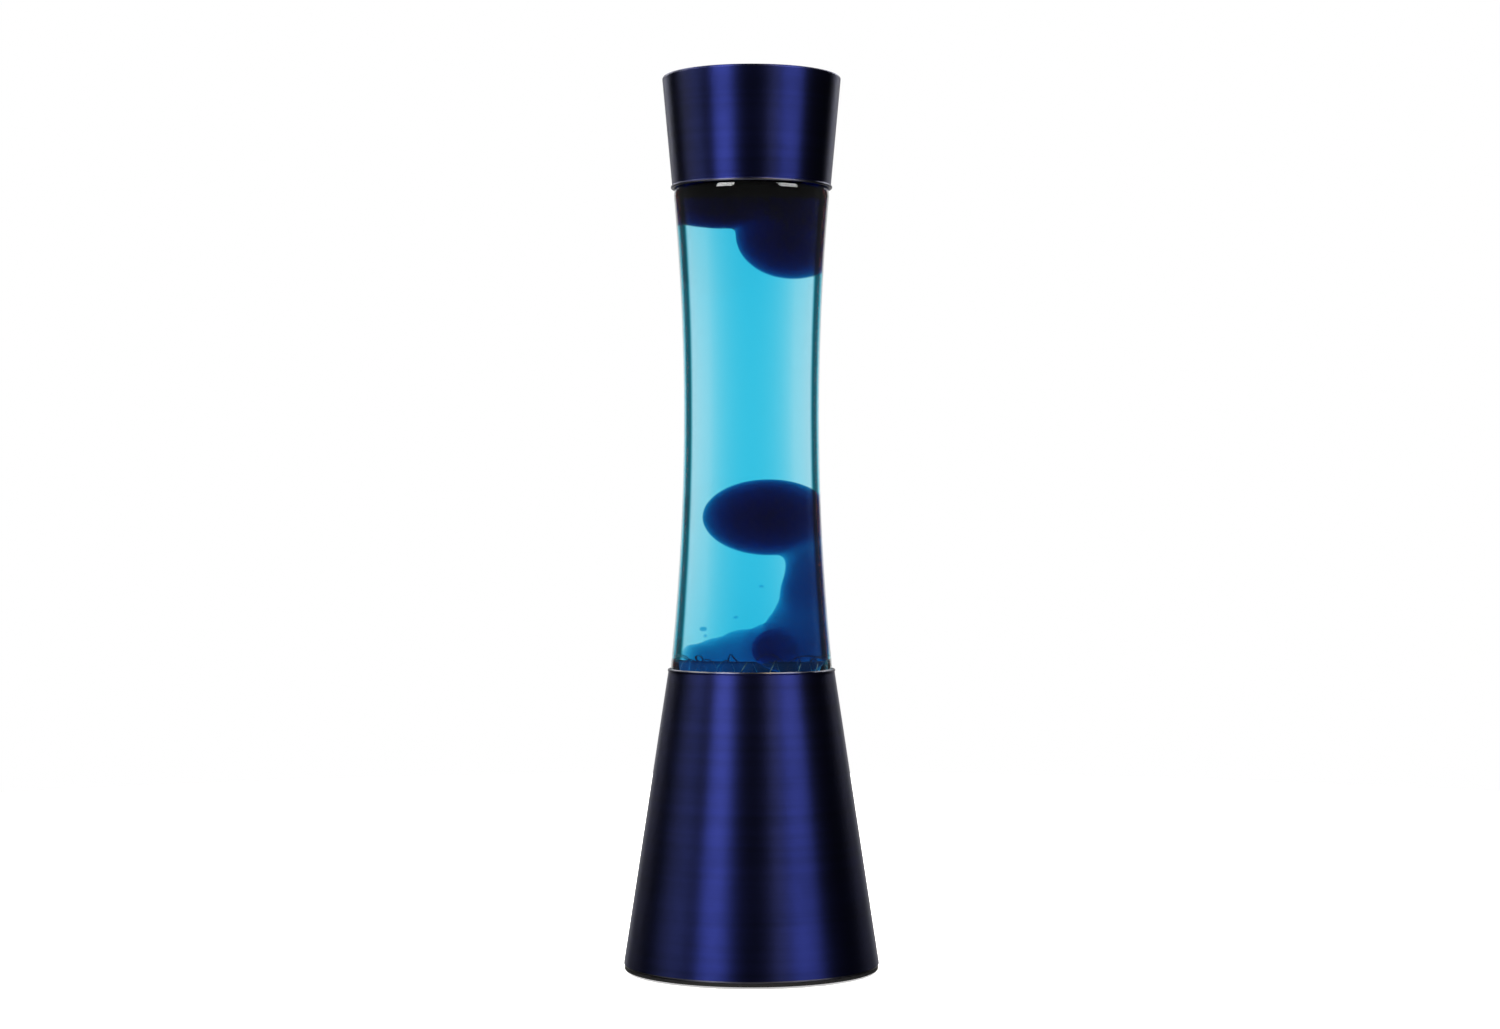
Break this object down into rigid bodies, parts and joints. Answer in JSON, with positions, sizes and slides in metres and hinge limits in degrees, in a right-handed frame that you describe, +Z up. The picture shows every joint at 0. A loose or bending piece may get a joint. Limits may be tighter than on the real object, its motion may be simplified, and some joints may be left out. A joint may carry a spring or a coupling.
{
  "type": "liquid motion lamp",
  "caption": "Waisted liquid motion lamp: tall glass globe of turquoise liquid and dark blue wax on a flared blue metal base, with a matching metal cap and a reflector bulb inside.",
  "frame": {"origin": "centre of the foot circle on the surface the lamp stands on", "axes": "+Z up along the lamp's axis, +Y towards the cord inlet at the back, -Y towards the viewer"},
  "size_m": [0.1142, 0.1141, 0.4],
  "materials": {
    "blue_metal": "dark blue satin lacquer over turned aluminium",
    "zinc_steel": "zinc-plated steel",
    "coil_steel": "bright drawn wire",
    "brass": "plain brass",
    "solder": "tinned",
    "silicone": "milky silicone",
    "black_plastic": "moulded, fine matt texture",
    "rubber": "matt rubber",
    "phenolic": "moulded phenolic",
    "clear_nylon": "natural nylon",
    "lead_brown": "smooth insulation",
    "lead_blue": "smooth insulation",
    "black_glass": "vitreous black",
    "nickel": "nickel-plated brass",
    "bulb_glass": "clear",
    "silver_layer": "vapour-coated silver",
    "tungsten": "drawn wire",
    "globe_glass": "clear, polished",
    "tinplate": "lacquered tinplate",
    "liner": "soft liner",
    "liquid": "clear turquoise liquid",
    "wax": "dark blue translucent wax",
    "foam": "closed-cell foam"
  },
  "bodies": {
    "base": {"base_cone": "blue_metal", "globe_seat": "zinc_steel", "seat_gasket": "silicone", "bottom_cover": "black_plastic", "rubber_feet": "rubber", "cover_screws": "zinc_steel", "lamp_bracket": "zinc_steel", "bracket_screws": "zinc_steel", "bracket_nuts": "zinc_steel", "nipple": "zinc_steel", "nipple_nut": "zinc_steel", "lampholder_body": "phenolic", "lampholder_shell": "brass", "lampholder_contact": "brass", "lampholder_terminals": "brass", "cord_grommet": "black_plastic", "cord_clamp": "black_plastic", "clamp_screws": "zinc_steel", "terminal_block": "clear_nylon", "terminal_screws": "zinc_steel", "lead_live": "lead_brown", "lead_neutral": "lead_blue"},
    "bulb_carrier": {"bulb_contact": "solder", "bulb_insulator": "black_glass"},
    "bulb": {"bulb_cap": "nickel", "bulb_envelope": "bulb_glass", "bulb_reflector": "silver_layer", "bulb_stem": "bulb_glass", "filament_supports": "tungsten", "bulb_filament": "tungsten"},
    "globe": {"globe_glass": "globe_glass", "crown_cap": "tinplate", "crown_liner": "liner", "liquid": "liquid", "wax_upper": "wax", "wax_lower": "wax", "wax_beads": "wax", "wax_coil": "coil_steel"},
    "cap": {"cap_shell": "blue_metal", "cap_collar": "foam"}
  },
  "joints": [
    {"name": "globe_lift", "type": "slide", "parent": "base", "child": "globe", "axis": [0, 0, 1], "range_m": [0, 0.09]},
    {"name": "cap_lift", "type": "slide", "parent": "globe", "child": "cap", "axis": [0, 0, 1], "range_m": [0, 0.07]},
    {"name": "bulb_rise", "type": "slide", "parent": "base", "child": "bulb_carrier", "axis": [0, 0, 1], "range_m": [0, 0.00847]},
    {"name": "bulb_turn", "type": "hinge", "parent": "bulb_carrier", "child": "bulb", "pos_m": [0, 0, 0.0502], "axis": [0, 0, 1], "range_deg": [0, 1080]}
  ],
  "couplings": [
    {"joint": "bulb_rise", "follows": "bulb_turn", "m_per_rad": 0.00044914}
  ]
}
